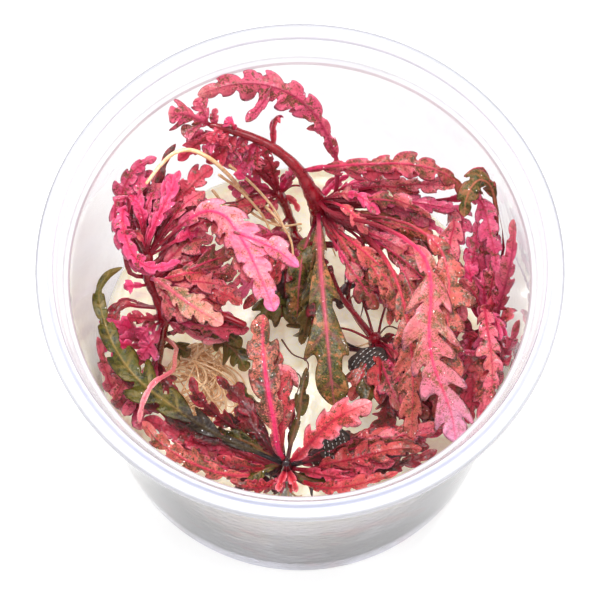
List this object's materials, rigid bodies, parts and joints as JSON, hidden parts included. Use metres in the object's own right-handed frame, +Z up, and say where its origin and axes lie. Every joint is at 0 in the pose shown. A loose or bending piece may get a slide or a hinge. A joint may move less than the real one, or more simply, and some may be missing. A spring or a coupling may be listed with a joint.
{
  "type": "potted water plant culture",
  "caption": "Lobed pink, crimson and olive water plants rooted in pale jelly in a round translucent culture cup with a flat flanged rim and no lid.",
  "frame": {"origin": "the middle of the underside of the cup's base, on the surface that it stands on", "axes": "+Z up along the cup's axis, -Y towards the viewer of the picture, +X to the viewer's right"},
  "size_m": [0.1, 0.1, 0.0768],
  "materials": {
    "cup_plastic": "translucent, smooth",
    "jelly": "moist, translucent",
    "stem_red": "waxy, wet",
    "wet_dark": "wet, nearly black",
    "root_tan": "smooth, pale tan",
    "leaf_pink": "wet leaf, lighter lobe tips",
    "leaf_rose": "wet leaf, olive specks",
    "leaf_magenta": "wet leaf",
    "leaf_crimson": "wet leaf",
    "leaf_coral": "wet leaf, olive specks",
    "leaf_salmon": "wet leaf, dark green specks",
    "leaf_pale": "wet leaf, pale mauve end",
    "leaf_olive": "wet leaf, mottled, pink midrib",
    "leaf_green": "wet leaf, light veins",
    "leaf_maroon": "wet leaf, mottled"
  },
  "bodies": {
    "root": {"cup": "cup_plastic", "culture_jelly": "jelly", "main_stem": "stem_red", "back_stem": "stem_red", "left_stem": "stem_red", "front_stem": "wet_dark", "middle_stem": "stem_red", "right_stem": "stem_red", "arching_leaf": "leaf_rose", "top_right_leaf": "leaf_rose", "serrated_leaf": "leaf_magenta", "wide_right_leaf": "leaf_magenta", "magenta_leaf": "leaf_magenta", "hot_lobed_leaf": "leaf_rose", "feature_leaf": "leaf_pale", "long_narrow_leaf": "leaf_coral", "salmon_leaf": "leaf_salmon", "wide_salmon_leaf": "leaf_salmon", "olive_leaf": "leaf_olive", "long_central_leaf": "leaf_olive", "shoot_leaf": "leaf_rose", "shoot_drop_leaf": "leaf_crimson", "back_rising_leaf": "leaf_rose", "back_crimson_leaf": "leaf_crimson", "back_green_leaf": "leaf_olive", "back_rose_leaf": "leaf_magenta", "outer_arch_leaf": "leaf_pink", "spear_leaf": "leaf_maroon", "wide_crimson_leaf": "leaf_crimson", "big_pink_leaf": "leaf_pink", "rose_leaf": "leaf_rose", "low_rose_leaf": "leaf_crimson", "curled_pink_leaf": "leaf_pink", "speckled_pale_leaf": "leaf_pale", "pale_curved_leaf": "leaf_pale", "dark_left_leaf": "leaf_green", "brown_leaf": "leaf_salmon", "coral_side_leaf": "leaf_coral", "left_wall_leaf": "leaf_rose", "pale_strip_leaf": "leaf_pale", "spotted_leaf": "leaf_salmon", "coral_leaf": "leaf_coral", "big_green_leaf": "leaf_green", "mottled_leaf": "leaf_maroon", "left_rim_leaf": "leaf_salmon", "front_left_leaf": "leaf_coral", "front_right_leaf": "leaf_coral", "right_spotted_leaf": "leaf_rose", "low_right_leaf": "leaf_crimson", "maroon_leaf": "leaf_maroon", "dark_middle_leaf": "leaf_green", "far_right_leaf": "leaf_rose", "right_wall_leaf": "leaf_rose", "right_rose_leaf": "leaf_rose", "right_red_leaf": "leaf_crimson", "right_magenta_leaf": "leaf_magenta", "folded_green_leaf": "leaf_olive", "arching_root": "root_tan", "root_tangle": "root_tan"}
  },
  "joints": []
}
